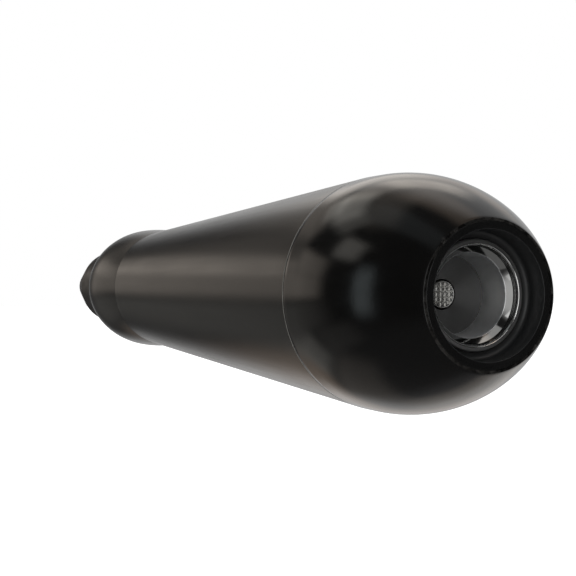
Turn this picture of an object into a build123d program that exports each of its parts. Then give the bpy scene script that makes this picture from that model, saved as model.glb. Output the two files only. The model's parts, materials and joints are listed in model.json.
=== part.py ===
from build123d import *
import math
import os

os.makedirs("parts", exist_ok=True)

# A hand-held plasma pen. The X axis is the pen's own axis and points out of the tip socket.
# The origin is the middle of the socket's mouth. Everything is in millimetres.

# Fits and edges
running_fit = 0.1
seat_gap = 0.05
edge_break = 0.2
overrun = 1.0

# Tip socket, from the mouth inwards
socket_bore_diameter = 14.5
bezel_wall = 0.95
bezel_edge_radius = 0.25
bezel_relief_lead = 0.2
bezel_relief_depth = 0.3
head_rim = 0.35
cup_recess = 2.6
cup_mouth_diameter = 11.3
cup_floor_diameter = 9.2
cup_lip_wall = 0.65
cup_depth = 5.5
cup_gutter_depth = 0.8
cup_flange_thickness = 1.0
cup_step = 0.12
cup_band_shares = (0.15, 0.39)
socket_body_diameter = 13.2
insulator_length = 6.0
funnel_depth = 1.5
lock_ring_diameter = 16.0
lock_ring_bore = 9.0
lock_ring_thickness = 2.0
lock_slot_width = 1.6

# Sprung contact pin and its barrel
pin_hole_diameter = 3.64
pin_head_diameter = 2.9
pin_head_length = 1.4
pin_stand = 0.4
pin_travel = 1.5
pin_overtravel = 0.5
pin_shank_diameter = 2.1
piston_diameter = 2.8
piston_length = 1.5
pin_tail_diameter = 1.2
pin_tail_length = 2.0
pin_edge_width = 0.2
crown_grooves = 4
crown_pitch = 0.6
crown_height = 0.28
crown_groove_width = 0.5
barrel_lip = 0.6
barrel_end_wall = 0.8
contact_spring_length = 7.25
contact_spring_diameter = 2.3
contact_spring_wire = 0.34
contact_spring_turns = 6
solder_tail_diameter = 1.6
solder_tail_length = 2.0
lead_diameter = 1.6
lead_hole_diameter = 4.0

# Head
head_length = 21.7
head_land_length = 3.0
head_spigot_length = 7.0
head_spigot_wall = 1.7

# Seals, all of one eight-sided section, for the same reason as the wire
seal_section = 1.06
seal_groove_width = 1.2
seal_groove_slack = 0.04
seal_sides = 8

# Spring wire, six-sided so that the coils stay light to draw
wire_sides = 6

# Driver board and what stands on it
board_width = 20.0
board_thickness = 1.2
board_drop = 3.0
board_edge = 0.5
part_gap = 0.5
chip_length = 5.0
chip_width = 5.0
chip_height = 1.2
transistor_width = 4.4
transistor_height = 1.9
core_length = 12.5
core_width_share = 0.6
core_height = 6.0
core_leg = 4.0
core_yoke = 2.0
core_side_leg = 1.4
winding_thickness = 1.7
winding_clearance = 0.4
winding_gap = 0.2
bobbin_base = 0.8
bobbin_block_length = 1.5
bobbin_block_height = 4.2
capacitor_diameter = 5.5
capacitor_height = 6.0
capacitor_offset = 4.3
capacitor_edge_width = 0.4
screw_diameter = 1.4
screw_head_diameter = 2.6
screw_head_height = 0.9
screw_depth = 2.0
screw_inset = 2.0
screw_side = 1.6
chip_share = 0.36

# Chassis tray and the battery's front contact
bulkhead_thickness = 2.0
tray_edge = 0.55
tray_fit = 0.1
tray_rail_width = 3.5
tray_floor = 3.2
board_end_gap = 0.5
strip_room = 0.8
carrier_thickness = 1.5
carrier_boss_diameter = 10.0
carrier_boss_height = 1.0
ground_ring_thickness = 0.5
ground_ring_width = 2.4
rivet_head_diameter = 7.0
rivet_head_thickness = 0.7
rivet_shaft_diameter = 2.4
strip_width = 2.4
strip_thickness = 0.4
strip_rise = 1.5
strip_foot = 1.5

# Battery
cell_diameter = 17.0
cell_length = 50.0
cell_clearance = 0.2
cell_edge_width = 0.4
cell_waist_depth = 0.35
cell_waist_width = 1.0
cell_waist_place = 3.5
terminal_diameter = 6.0
terminal_height = 1.3
terminal_edge_width = 0.3
washer_diameter = 13.0
washer_thickness = 0.3

# Tube
seam_wall = 3.4
tube_end_wall = 0.9
cell_overhang = 8.5

# Tail cap
tail_spigot_length = 8.0
tail_spigot_wall = 1.5
tail_spigot_relief = 0.5
cap_rise = 0.57
cap_swell_share = 0.37
cap_rear_wall = 1.8
cap_front_chamfer = 0.15
cap_edge_radius = 0.4
battery_spring_length = 3.3
battery_spring_diameter = 9.0
battery_spring_wire = 0.6
battery_spring_turns = 3
tail_board_thickness = 1.2
tail_ring_thickness = 1.5
tail_ring_wall = 1.5
switch_room = 7.5
switch_ledge = 0.8
switch_size = 9.0
switch_height = 4.5
switch_edge_radius = 0.6
switch_plunger_diameter = 3.6
switch_plunger_reach = 1.5
switch_bore_slack = 0.5
web_thickness = 1.5

# Power button at the rear end
button_travel = 0.8
button_gap = 1.0
button_step = 0.05
button_land_length = 7.15
button_taper = 12.9
button_tip_radius = 4.2
button_edge_radius = 0.4
neck_diameter = 12.4
neck_engagement = 3.6
button_spring_room = 3.4
button_spring_diameter = 9.2
button_spring_wire = 0.5
button_spring_turns = 3
stem_diameter = 6.0
clip_diameter = 9.2
clip_thickness = 0.6
clip_groove_depth = 0.5
clip_mouth_width = 3.4

# Radii worked out from the inside outwards
bezel_bore_r = socket_bore_diameter / 2
bezel_r = bezel_bore_r + bezel_wall
face_r = bezel_r + head_rim
cup_mouth_r = cup_mouth_diameter / 2
cup_floor_r = cup_floor_diameter / 2
cup_lip_r = cup_mouth_r + cup_lip_wall
socket_body_r = socket_body_diameter / 2
pin_hole_r = pin_hole_diameter / 2
tray_r = math.hypot(board_width / 2, board_drop + board_thickness) + tray_edge
chamber_r = tray_r + tray_fit
seam_r = chamber_r + seam_wall
cell_r = cell_diameter / 2
cell_bore_r = cell_r + cell_clearance
tail_spigot_r = cell_bore_r + tail_spigot_wall
counterbore_r = tail_spigot_r + running_fit
tube_rear_r = counterbore_r + tube_end_wall
cap_swell_r = tube_rear_r + cap_rise
switch_room_r = cell_bore_r - switch_ledge
neck_r = neck_diameter / 2
guide_r = neck_r + running_fit
cap_rear_r = guide_r + cap_rear_wall
button_r = cap_rear_r - button_step
stem_r = stem_diameter / 2

# Stations along the axis, from the socket's mouth to the rear end
lip_x = -cup_recess
flange_x = lip_x - cup_gutter_depth
cup_seat_x = flange_x - cup_flange_thickness
floor_x = lip_x - cup_depth
funnel_x = floor_x - funnel_depth
insulator_back_x = floor_x - insulator_length
lock_ring_back_x = insulator_back_x - lock_ring_thickness
crown_x = funnel_x + pin_stand
pin_head_back_x = crown_x - pin_head_length
barrel_x = pin_head_back_x - pin_travel - pin_overtravel
barrel_bore_x = barrel_x - barrel_lip
piston_x = barrel_bore_x - seat_gap
piston_back_x = piston_x - piston_length
barrel_floor_x = piston_back_x - contact_spring_length
barrel_back_x = barrel_floor_x - barrel_end_wall
solder_x = barrel_back_x - solder_tail_length
seam_x = -head_length
tray_x = seam_x - head_spigot_length
board_length = (2 * board_edge + 2 * part_gap + chip_length + core_length
                + 2 * bobbin_block_length + capacitor_diameter)
tray_length = bulkhead_thickness + board_end_gap + board_length + strip_room
board_x = tray_x - bulkhead_thickness - board_end_gap
carrier_x = tray_x - tray_length
ground_ring_x = carrier_x - carrier_thickness
shoulder_x = ground_ring_x - ground_ring_thickness
rivet_x = ground_ring_x - carrier_boss_height - ground_ring_thickness
terminal_x = rivet_x - rivet_head_thickness
cell_x = terminal_x - terminal_height
cell_back_x = cell_x - cell_length
joint_x = cell_back_x + cell_overhang
tail_spigot_x = joint_x + tail_spigot_length
tail_board_x = cell_back_x - battery_spring_length
ledge_x = tail_board_x - tail_board_thickness
web_x = ledge_x - switch_room
web_back_x = web_x - web_thickness
neck_x = web_back_x - button_spring_room
cap_rear_x = neck_x - neck_engagement
swell_x = joint_x - cap_swell_share * (joint_x - cap_rear_x)
button_x = cap_rear_x - button_gap
nose_x = button_x - button_land_length
tip_edge_r = button_tip_radius * math.cos(math.radians(button_taper))
tip_edge_x = nose_x - (button_r - tip_edge_r) / math.tan(math.radians(button_taper))
rear_x = tip_edge_x - button_tip_radius * (1 - math.sin(math.radians(button_taper)))
switch_back_x = ledge_x - switch_height
clip_x = web_x + seat_gap
stem_x = clip_x + 2 * clip_thickness + button_travel

# Levels and widths on the board
board_top_z = -board_drop
board_bottom_z = board_top_z - board_thickness
chip_offset = chip_share * board_width / 2
core_width = core_width_share * board_width
core_window_width = (core_width - core_leg - 2 * core_side_leg) / 2
winding_width = core_window_width - winding_clearance
trough_width = board_width - 2 * tray_rail_width
trough_depth = tray_r + board_bottom_z - tray_floor


def band(front, back, inner, outer, mode=Mode.ADD):
    """A rectangle of a half section, between two stations and two radii."""
    with Locations(((front + back) / 2, (inner + outer) / 2)):
        Rectangle(front - back, outer - inner, mode=mode)


def seal_groove(middle, outer):
    """The cut for a seal that stands just inside the radius given."""
    floor = outer - seat_gap - seal_section - seal_groove_slack
    half = seal_groove_width / 2
    band(middle + half, middle - half, floor, outer + overrun, Mode.SUBTRACT)


def seal_section_at(middle, outer):
    """The section of a seal whose outside stands just inside the radius given."""
    with Locations((middle, outer - seat_gap - seal_section / 2)):
        RegularPolygon(seal_section / 2, seal_sides)


def spring_line(front, back, diameter, wire, turns):
    """The middle line of a round-wire spring along X that just clears its two seats."""
    height = front - back - wire - 2 * seat_gap
    start = (back + wire / 2 + seat_gap, 0, 0)
    Helix(height / turns, height, (diameter - wire) / 2, center=start, direction=(1, 0, 0))


# Head shell: a domed aluminium turning with the socket's bore, a cavity and a spigot for the tube
cavity_r = chamber_r - head_spigot_wall
head_seal_x = seam_x - head_spigot_length / 2
with BuildPart() as head_shell:
    with BuildSketch():
        with BuildLine():
            Polyline(
                (0, face_r),
                (0, 0),
                (seam_x, 0),
                (seam_x, seam_r - edge_break),
                (seam_x + edge_break, seam_r),
                (seam_x + head_land_length, seam_r),
            )
            TangentArc((seam_x + head_land_length, seam_r), (0, face_r), tangent=(1, 0))
        make_face()
        band(seam_x, tray_x, 0, chamber_r)
        seal_groove(head_seal_x, chamber_r)
        band(overrun, cup_seat_x, 0, bezel_r, Mode.SUBTRACT)
        band(cup_seat_x + overrun, insulator_back_x, 0, socket_body_r, Mode.SUBTRACT)
        band(insulator_back_x, lock_ring_back_x, 0, lock_ring_diameter / 2, Mode.SUBTRACT)
        band(lock_ring_back_x, tray_x - overrun, 0, cavity_r, Mode.SUBTRACT)
    revolve(axis=Axis.X)
head_shell.part.label = "head_shell"
export_step(head_shell.part, "parts/head_shell.step")

with BuildPart() as head_seal:
    with BuildSketch():
        seal_section_at(head_seal_x, chamber_r)
    revolve(axis=Axis.X)
head_seal.part.label = "head_seal"
export_step(head_seal.part, "parts/head_seal.step")

# Bezel ring: the gloss ring round the socket's mouth, which clamps the cup's flange.
# Its bore is relieved beside the cup's lip, so that a tip's plug is guided only ahead of the lip.
relief_x = lip_x + bezel_relief_lead
relief_r = bezel_bore_r + bezel_relief_depth
with BuildPart() as bezel_ring:
    with BuildSketch():
        band(0, flange_x, bezel_bore_r, bezel_r)
        band(relief_x, flange_x - overrun, bezel_bore_r - overrun, relief_r, Mode.SUBTRACT)
    revolve(axis=Axis.X)
    front_edges = bezel_ring.edges().group_by(Axis.X)[-1]
    fillet(front_edges.sort_by(SortBy.RADIUS)[-1], bezel_edge_radius)
bezel_ring.part.label = "bezel_ring"
export_step(bezel_ring.part, "parts/bezel_ring.step")


def cup_radius(share):
    """The cup's inside radius at a share of its depth."""
    return cup_mouth_r + share * (cup_floor_r - cup_mouth_r)


# Socket cup: a tapered liner with a rounded lip, two fine steps in its wall and a clamping flange
lip_round = cup_lip_wall / 2
with BuildPart() as socket_cup:
    with BuildSketch():
        with BuildLine():
            wall = [(lip_x - lip_round, cup_mouth_r)]
            for band_share in cup_band_shares:
                station = lip_x - band_share * cup_depth
                wall.append((station, cup_radius(band_share) + cup_step / 2))
                wall.append((station, cup_radius(band_share) - cup_step / 2))
            wall.append((floor_x, cup_floor_r))
            Polyline(
                *wall,
                (floor_x, socket_body_r),
                (cup_seat_x, socket_body_r),
                (cup_seat_x, bezel_r),
                (flange_x, bezel_r),
                (flange_x, cup_lip_r),
                (lip_x - lip_round, cup_lip_r),
            )
            ThreePointArc(
                (lip_x - lip_round, cup_lip_r),
                (lip_x, cup_mouth_r + lip_round),
                (lip_x - lip_round, cup_mouth_r),
            )
        make_face()
    revolve(axis=Axis.X)
socket_cup.part.label = "socket_cup"
export_step(socket_cup.part, "parts/socket_cup.step")

# Socket insulator: the cup's funnel-shaped floor and the holder of the pin's barrel
with BuildPart() as socket_insulator:
    with BuildSketch():
        with BuildLine():
            Polyline(
                (floor_x, socket_body_r),
                (floor_x, cup_floor_r),
                (funnel_x, pin_hole_r),
                (insulator_back_x, pin_hole_r),
                (insulator_back_x, socket_body_r),
                close=True,
            )
        make_face()
    revolve(axis=Axis.X)
socket_insulator.part.label = "socket_insulator"
export_step(socket_insulator.part, "parts/socket_insulator.step")

# Lock ring: a threaded ring with two spanner slots that holds the insulator from behind
with BuildPart() as socket_lock_ring:
    with BuildSketch():
        band(insulator_back_x, lock_ring_back_x, lock_ring_bore / 2, lock_ring_diameter / 2)
    revolve(axis=Axis.X)
    with BuildSketch(Plane.YZ.offset(lock_ring_back_x)):
        Rectangle(lock_ring_diameter + overrun, lock_slot_width)
    extrude(amount=lock_ring_thickness / 2, mode=Mode.SUBTRACT)
socket_lock_ring.part.label = "socket_lock_ring"
export_step(socket_lock_ring.part, "parts/socket_lock_ring.step")

# Pin barrel: a brass tube with a turned-in mouth, a closed end and a solder tail
shank_bore_r = pin_shank_diameter / 2 + running_fit
piston_bore_r = piston_diameter / 2 + running_fit
with BuildPart() as pin_barrel:
    with BuildSketch():
        band(barrel_x, barrel_back_x, 0, pin_hole_r)
        band(barrel_back_x, solder_x, 0, solder_tail_diameter / 2)
        band(barrel_x + overrun, barrel_bore_x, 0, shank_bore_r, Mode.SUBTRACT)
        band(barrel_bore_x, barrel_floor_x, 0, piston_bore_r, Mode.SUBTRACT)
    revolve(axis=Axis.X)
pin_barrel.part.label = "pin_barrel"
export_step(pin_barrel.part, "parts/pin_barrel.step")

# Contact pin: a face of small teeth on a shank, with the piston that keeps it in the barrel.
# Two crossing rows of V grooves leave the teeth standing.
pin_head_r = pin_head_diameter / 2
with BuildPart() as contact_pin:
    with BuildSketch():
        band(crown_x, pin_head_back_x, 0, pin_head_r)
        band(pin_head_back_x, piston_x, 0, pin_shank_diameter / 2)
        band(piston_x, piston_back_x, 0, piston_diameter / 2)
        band(piston_back_x, piston_back_x - pin_tail_length, 0, pin_tail_diameter / 2)
    revolve(axis=Axis.X)
    chamfer(contact_pin.edges().group_by(Axis.X)[-1], pin_edge_width)
    groove_places = [(0, crown_pitch * (row - (crown_grooves - 1) / 2)) for row in range(crown_grooves)]
    for groove_axis in ((0, 1, 0), (0, 0, 1)):
        with BuildSketch(Plane(origin=(crown_x, 0, 0), x_dir=(1, 0, 0), z_dir=groove_axis)):
            with Locations(*groove_places):
                Polygon((0, crown_groove_width / 2), (-crown_height, 0), (0, -crown_groove_width / 2), align=None)
        extrude(amount=pin_head_diameter, both=True, mode=Mode.SUBTRACT)
contact_pin.part.label = "contact_pin"
export_step(contact_pin.part, "parts/contact_pin.step")

with BuildPart() as contact_spring:
    with BuildLine() as contact_line:
        spring_line(piston_back_x, barrel_floor_x, contact_spring_diameter, contact_spring_wire, contact_spring_turns)
    with BuildSketch(Plane(origin=contact_line.line @ 0, z_dir=contact_line.line % 0)):
        RegularPolygon(contact_spring_wire / 2, wire_sides)
    sweep(is_frenet=True)
contact_spring.part.label = "contact_spring"
export_step(contact_spring.part, "parts/contact_spring.step")

# Body tube: tapers from the head to the tail, with the electronics chamber and the battery's bore
with BuildPart() as body_tube:
    with BuildSketch():
        with BuildLine():
            Polyline(
                (seam_x, 0),
                (seam_x, seam_r - edge_break),
                (seam_x - edge_break, seam_r),
                (joint_x + edge_break, tube_rear_r),
                (joint_x, tube_rear_r - edge_break),
                (joint_x, 0),
                close=True,
            )
        make_face()
        band(seam_x + overrun, shoulder_x, 0, chamber_r, Mode.SUBTRACT)
        band(shoulder_x, joint_x - overrun, 0, cell_bore_r, Mode.SUBTRACT)
        band(tail_spigot_x + tail_spigot_relief, joint_x - overrun, 0, counterbore_r, Mode.SUBTRACT)
    revolve(axis=Axis.X)
body_tube.part.label = "body_tube"
export_step(body_tube.part, "parts/body_tube.step")

# Chassis tray: a bulkhead in front of a trough that carries the driver board
screw_places = [
    (station, side * (board_width / 2 - screw_side))
    for station in (
        board_x - screw_inset,
        board_x - board_length + board_edge + capacitor_diameter + part_gap + screw_inset,
    )
    for side in (1, -1)
]
with BuildPart() as chassis_tray:
    with BuildSketch(Plane.YZ.offset(tray_x)):
        Circle(tray_r)
        Circle(lead_hole_diameter / 2, mode=Mode.SUBTRACT)
    extrude(amount=-bulkhead_thickness)
    with BuildSketch(Plane.YZ.offset(tray_x - bulkhead_thickness)):
        Circle(tray_r)
        with Locations((0, board_bottom_z - tray_r / 2)):
            Rectangle(2 * tray_r, tray_r, mode=Mode.INTERSECT)
        with Locations((0, board_bottom_z - trough_depth / 2)):
            Rectangle(trough_width, trough_depth, mode=Mode.SUBTRACT)
    extrude(amount=bulkhead_thickness - tray_length)
    with BuildSketch(Plane.XY.offset(board_bottom_z)):
        with Locations(screw_places):
            Circle(screw_diameter / 2)
    extrude(amount=-screw_depth, mode=Mode.SUBTRACT)
chassis_tray.part.label = "chassis_tray"
export_step(chassis_tray.part, "parts/chassis_tray.step")

board_middle_x = board_x - board_length / 2
with BuildPart() as driver_board:
    with BuildSketch(Plane.XY.offset(board_bottom_z)):
        with Locations((board_middle_x, 0)):
            Rectangle(board_length, board_width)
        with Locations(screw_places):
            Circle(screw_diameter / 2, mode=Mode.SUBTRACT)
    extrude(amount=board_thickness)
driver_board.part.label = "driver_board"
export_step(driver_board.part, "parts/driver_board.step")

with BuildPart() as board_screws:
    with BuildSketch(Plane.XY.offset(board_bottom_z - screw_depth)):
        with Locations(screw_places):
            Circle(screw_diameter / 2)
    extrude(amount=screw_depth + board_thickness)
    with BuildSketch(Plane.XY.offset(board_top_z)):
        with Locations(screw_places):
            Circle(screw_head_diameter / 2)
    extrude(amount=screw_head_height)
board_screws.part.label = "board_screws"
export_step(board_screws.part, "parts/board_screws.step")

# Parts on the board: the chips, the step-up transformer and the storage capacitors, front to back
chip_x = board_x - board_edge
with BuildPart() as control_chip:
    with BuildSketch(Plane.XY.offset(board_top_z)):
        with Locations((chip_x - chip_length / 2, -chip_offset)):
            Rectangle(chip_length, chip_width)
    extrude(amount=chip_height)
    chamfer(control_chip.edges().group_by(Axis.Z)[-1], edge_break)
control_chip.part.label = "control_chip"
export_step(control_chip.part, "parts/control_chip.step")

with BuildPart() as power_transistor:
    with BuildSketch(Plane.XY.offset(board_top_z)):
        with Locations((chip_x - chip_length / 2, chip_offset)):
            Rectangle(chip_length, transistor_width)
    extrude(amount=transistor_height)
    chamfer(power_transistor.edges().group_by(Axis.Z)[-1], edge_break)
power_transistor.part.label = "power_transistor"
export_step(power_transistor.part, "parts/power_transistor.step")

bobbin_x = chip_x - chip_length - part_gap
bobbin_length = core_length + 2 * bobbin_block_length
core_middle_x = bobbin_x - bobbin_length / 2
coil_bottom_z = board_top_z + bobbin_base
core_bottom_z = coil_bottom_z + winding_thickness
core_window_length = core_length - 2 * core_yoke
with BuildPart() as transformer_bobbin:
    with BuildSketch(Plane.XY.offset(board_top_z)):
        with Locations((core_middle_x, 0)):
            Rectangle(bobbin_length, core_width)
    extrude(amount=bobbin_base)
    with BuildSketch(Plane.XY.offset(board_top_z)):
        with Locations((core_middle_x, 0)):
            with GridLocations(core_length + bobbin_block_length, 0, 2, 1):
                Rectangle(bobbin_block_length, core_width)
    extrude(amount=bobbin_block_height)
transformer_bobbin.part.label = "transformer_bobbin"
export_step(transformer_bobbin.part, "parts/transformer_bobbin.step")

with BuildPart() as transformer_core:
    with BuildSketch(Plane.XY.offset(core_bottom_z)):
        with Locations((core_middle_x, 0)):
            Rectangle(core_length, core_width)
            with GridLocations(0, core_leg + core_window_width, 1, 2):
                Rectangle(core_window_length, core_window_width, mode=Mode.SUBTRACT)
    extrude(amount=core_height)
transformer_core.part.label = "transformer_core"
export_step(transformer_core.part, "parts/transformer_core.step")

winding_length = core_window_length - 2 * winding_gap
with BuildPart() as transformer_coil:
    with BuildSketch(Plane.YZ.offset(core_middle_x - winding_length / 2)):
        with Locations((0, core_bottom_z + core_height / 2)):
            Rectangle(core_leg + 2 * winding_width, core_height + 2 * winding_thickness)
            Rectangle(core_leg, core_height, mode=Mode.SUBTRACT)
    extrude(amount=winding_length)
transformer_coil.part.label = "transformer_coil"
export_step(transformer_coil.part, "parts/transformer_coil.step")

capacitor_x = bobbin_x - bobbin_length - part_gap - capacitor_diameter / 2
with BuildPart() as storage_capacitors:
    with BuildSketch(Plane.XY.offset(board_top_z)):
        with Locations((capacitor_x, 0)):
            with GridLocations(0, 2 * capacitor_offset, 1, 2):
                Circle(capacitor_diameter / 2)
    extrude(amount=capacitor_height)
    chamfer(storage_capacitors.edges().group_by(Axis.Z)[-1], capacitor_edge_width)
storage_capacitors.part.label = "storage_capacitors"
export_step(storage_capacitors.part, "parts/storage_capacitors.step")

# High-voltage lead: runs straight from the barrel's solder tail to the transformer
with BuildPart() as high_voltage_lead:
    with BuildSketch(Plane.YZ.offset(solder_x)):
        Circle(lead_diameter / 2)
    extrude(amount=bobbin_x - solder_x)
high_voltage_lead.part.label = "high_voltage_lead"
export_step(high_voltage_lead.part, "parts/high_voltage_lead.step")

# Contact carrier, ground ring, rivet and strip: what the battery's front end meets
carrier_boss_r = carrier_boss_diameter / 2
with BuildPart() as contact_carrier:
    with BuildSketch():
        band(carrier_x, ground_ring_x, rivet_shaft_diameter / 2, tray_r)
        band(ground_ring_x, rivet_x, rivet_shaft_diameter / 2, carrier_boss_r)
    revolve(axis=Axis.X)
contact_carrier.part.label = "contact_carrier"
export_step(contact_carrier.part, "parts/contact_carrier.step")

with BuildPart() as ground_ring:
    with BuildSketch():
        band(ground_ring_x, shoulder_x, tray_r - ground_ring_width, tray_r)
    revolve(axis=Axis.X)
ground_ring.part.label = "ground_ring"
export_step(ground_ring.part, "parts/ground_ring.step")

with BuildPart() as contact_rivet:
    with BuildSketch():
        band(carrier_x, rivet_x, 0, rivet_shaft_diameter / 2)
        band(rivet_x, terminal_x, 0, rivet_head_diameter / 2)
    revolve(axis=Axis.X)
contact_rivet.part.label = "contact_rivet"
export_step(contact_rivet.part, "parts/contact_rivet.step")

with BuildPart() as battery_strip:
    with BuildSketch(Plane.XZ):
        with BuildLine():
            Polyline(
                (carrier_x, strip_rise),
                (carrier_x, board_top_z),
                (carrier_x + strip_room + strip_foot, board_top_z),
                (carrier_x + strip_room + strip_foot, board_top_z + strip_thickness),
                (carrier_x + strip_thickness, board_top_z + strip_thickness),
                (carrier_x + strip_thickness, strip_rise),
                close=True,
            )
        make_face()
    extrude(amount=strip_width / 2, both=True)
battery_strip.part.label = "battery_strip"
export_step(battery_strip.part, "parts/battery_strip.step")

# Battery: a rechargeable cell with a rolled waist, its washer and its front terminal
waist_middle_x = cell_x - cell_waist_place
with BuildPart() as battery_cell:
    with BuildSketch():
        band(cell_x, cell_back_x, 0, cell_r)
        with BuildLine():
            Polyline(
                (waist_middle_x + cell_waist_width / 2, cell_r),
                (waist_middle_x, cell_r - cell_waist_depth),
                (waist_middle_x - cell_waist_width / 2, cell_r),
                close=True,
            )
        make_face(mode=Mode.SUBTRACT)
    revolve(axis=Axis.X)
    end_edges = battery_cell.edges().group_by(Axis.X)
    chamfer(end_edges[0] + end_edges[-1], cell_edge_width)
battery_cell.part.label = "battery_cell"
export_step(battery_cell.part, "parts/battery_cell.step")

with BuildPart() as battery_washer:
    with BuildSketch():
        band(cell_x + washer_thickness, cell_x, terminal_diameter / 2, washer_diameter / 2)
    revolve(axis=Axis.X)
battery_washer.part.label = "battery_washer"
export_step(battery_washer.part, "parts/battery_washer.step")

with BuildPart() as battery_terminal:
    with BuildSketch():
        band(terminal_x, cell_x, 0, terminal_diameter / 2)
    revolve(axis=Axis.X)
    chamfer(battery_terminal.edges().group_by(Axis.X)[-1], terminal_edge_width)
battery_terminal.part.label = "battery_terminal"
export_step(battery_terminal.part, "parts/battery_terminal.step")

# Tail cap: swells behind the joint, rounds off to the button, and holds the switch and the guide
tail_seal_x = joint_x + tail_spigot_length / 4
with BuildPart() as tail_cap:
    with BuildSketch():
        with BuildLine():
            TangentArc((swell_x, cap_swell_r), (joint_x, tube_rear_r), tangent=(1, 0))
            TangentArc((swell_x, cap_swell_r), (cap_rear_x, cap_rear_r), tangent=(-1, 0))
            Polyline((joint_x, tube_rear_r), (joint_x, 0), (cap_rear_x, 0), (cap_rear_x, cap_rear_r))
        make_face()
        band(tail_spigot_x, joint_x, 0, tail_spigot_r)
        seal_groove(tail_seal_x, tail_spigot_r + running_fit)
        band(tail_spigot_x + overrun, ledge_x, 0, cell_bore_r, Mode.SUBTRACT)
        band(ledge_x, web_x, 0, switch_room_r, Mode.SUBTRACT)
        band(web_x, web_back_x, 0, stem_r + running_fit, Mode.SUBTRACT)
        band(web_back_x, cap_rear_x - overrun, 0, guide_r, Mode.SUBTRACT)
    revolve(axis=Axis.X)
    fillet(tail_cap.edges().group_by(Axis.X)[0].sort_by(SortBy.RADIUS)[-1], cap_edge_radius)
    joint_edges = tail_cap.edges().filter_by_position(Axis.X, joint_x - seat_gap, joint_x + seat_gap)
    chamfer(joint_edges.sort_by(SortBy.RADIUS)[-1], cap_front_chamfer)
tail_cap.part.label = "tail_cap"
export_step(tail_cap.part, "parts/tail_cap.step")

with BuildPart() as tail_seal:
    with BuildSketch():
        seal_section_at(tail_seal_x, tail_spigot_r + running_fit)
    revolve(axis=Axis.X)
tail_seal.part.label = "tail_seal"
export_step(tail_seal.part, "parts/tail_seal.step")

with BuildPart() as tail_board:
    with BuildSketch():
        band(tail_board_x, ledge_x, 0, cell_bore_r)
    revolve(axis=Axis.X)
tail_board.part.label = "tail_board"
export_step(tail_board.part, "parts/tail_board.step")

tail_ring_x = tail_board_x + tail_ring_thickness
with BuildPart() as tail_retaining_ring:
    with BuildSketch():
        band(tail_ring_x, tail_board_x, cell_bore_r - tail_ring_wall, cell_bore_r)
    revolve(axis=Axis.X)
tail_retaining_ring.part.label = "tail_retaining_ring"
export_step(tail_retaining_ring.part, "parts/tail_retaining_ring.step")

with BuildPart() as battery_spring:
    with BuildLine() as battery_line:
        spring_line(cell_back_x, tail_board_x, battery_spring_diameter, battery_spring_wire, battery_spring_turns)
    with BuildSketch(Plane(origin=battery_line.line @ 0, z_dir=battery_line.line % 0)):
        RegularPolygon(battery_spring_wire / 2, wire_sides)
    sweep(is_frenet=True)
battery_spring.part.label = "battery_spring"
export_step(battery_spring.part, "parts/battery_spring.step")

# Tail switch: a square housing on the tail board, with a plunger that the button's stem pushes
plunger_r = switch_plunger_diameter / 2
plunger_front_x = switch_back_x + switch_plunger_reach
with BuildPart() as switch_housing:
    with BuildSketch(Plane.YZ.offset(switch_back_x)):
        RectangleRounded(switch_size, switch_size, switch_edge_radius)
    extrude(amount=switch_height)
    with BuildSketch(Plane.YZ.offset(switch_back_x)):
        Circle(plunger_r + running_fit)
    extrude(amount=switch_plunger_reach + button_travel + switch_bore_slack, mode=Mode.SUBTRACT)
switch_housing.part.label = "switch_housing"
export_step(switch_housing.part, "parts/switch_housing.step")

with BuildPart() as switch_plunger:
    with BuildSketch():
        band(plunger_front_x, stem_x, 0, plunger_r)
    revolve(axis=Axis.X)
switch_plunger.part.label = "switch_plunger"
export_step(switch_plunger.part, "parts/switch_plunger.step")

# Power button: a bullet-shaped end on a neck that slides in the cap, with the stem of its clip.
# Its sides taper straight to a small dome.
button_seal_x = neck_x - neck_engagement / 2
with BuildPart() as power_button:
    with BuildSketch():
        with BuildLine():
            taper = Line((nose_x, button_r), (tip_edge_x, tip_edge_r))
            TangentArc(taper @ 1, (rear_x, 0), tangent=taper % 1)
            Polyline((rear_x, 0), (nose_x, 0), (nose_x, button_r))
        make_face()
        band(button_x, nose_x, 0, button_r)
        band(neck_x, button_x, 0, neck_r)
        seal_groove(button_seal_x, neck_r + running_fit)
        band(stem_x, neck_x, 0, stem_r)
        band(clip_x + clip_thickness, clip_x, stem_r - clip_groove_depth, stem_r + overrun, Mode.SUBTRACT)
    revolve(axis=Axis.X)
    shoulder_edges = power_button.edges().filter_by(GeomType.CIRCLE)
    shoulder_edges = shoulder_edges.filter_by(lambda edge: abs(edge.radius - button_r) < seat_gap)
    fillet(shoulder_edges.sort_by(Axis.X)[-1], button_edge_radius)
power_button.part.label = "power_button"
export_step(power_button.part, "parts/power_button.step")

with BuildPart() as button_seal:
    with BuildSketch():
        seal_section_at(button_seal_x, neck_r + running_fit)
    revolve(axis=Axis.X)
button_seal.part.label = "button_seal"
export_step(button_seal.part, "parts/button_seal.step")

with BuildPart() as button_spring:
    with BuildLine() as button_line:
        spring_line(web_back_x, neck_x, button_spring_diameter, button_spring_wire, button_spring_turns)
    with BuildSketch(Plane(origin=button_line.line @ 0, z_dir=button_line.line % 0)):
        RegularPolygon(button_spring_wire / 2, wire_sides)
    sweep(is_frenet=True)
button_spring.part.label = "button_spring"
export_step(button_spring.part, "parts/button_spring.step")

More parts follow.
